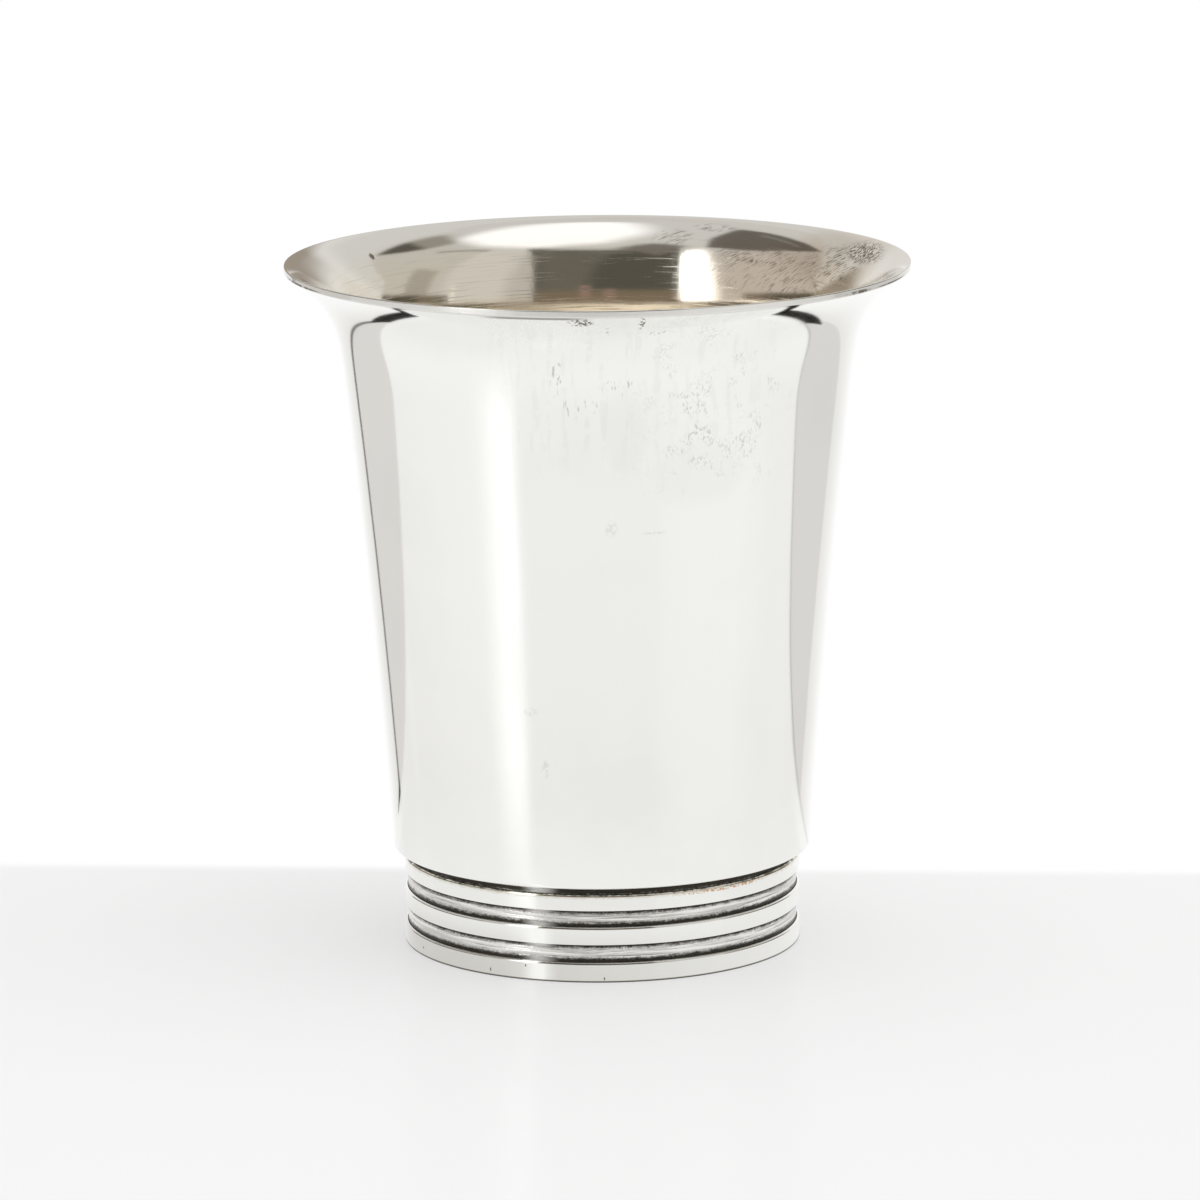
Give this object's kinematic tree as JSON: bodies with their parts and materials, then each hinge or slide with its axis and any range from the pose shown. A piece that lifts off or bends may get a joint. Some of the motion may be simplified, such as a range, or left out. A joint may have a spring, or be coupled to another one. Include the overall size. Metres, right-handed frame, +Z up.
{
  "type": "beaker",
  "caption": "Tapered silver drinking beaker with a flared lip, standing on a low foot of flat bands with dark grooves between them.",
  "frame": {"origin": "centre of the foot's underside, on the surface that the beaker stands on", "axes": "+Z up along the beaker's axis, towards the lip"},
  "size_m": [0.0906, 0.0906, 0.1],
  "materials": {
    "body_silver": "hand polished silver with light scratches and a trace of tarnish",
    "band_silver": "polished silver with dark edges",
    "collar_silver": "tarnished silver, nearly black in the corners",
    "solder": "silver solder, dull and slightly yellow"
  },
  "bodies": {
    "root": {"body_shell": "body_silver", "foot_collar": "collar_silver", "upper_band": "band_silver", "middle_band": "band_silver", "base_band": "band_silver", "solder_fillet": "solder"}
  },
  "joints": []
}
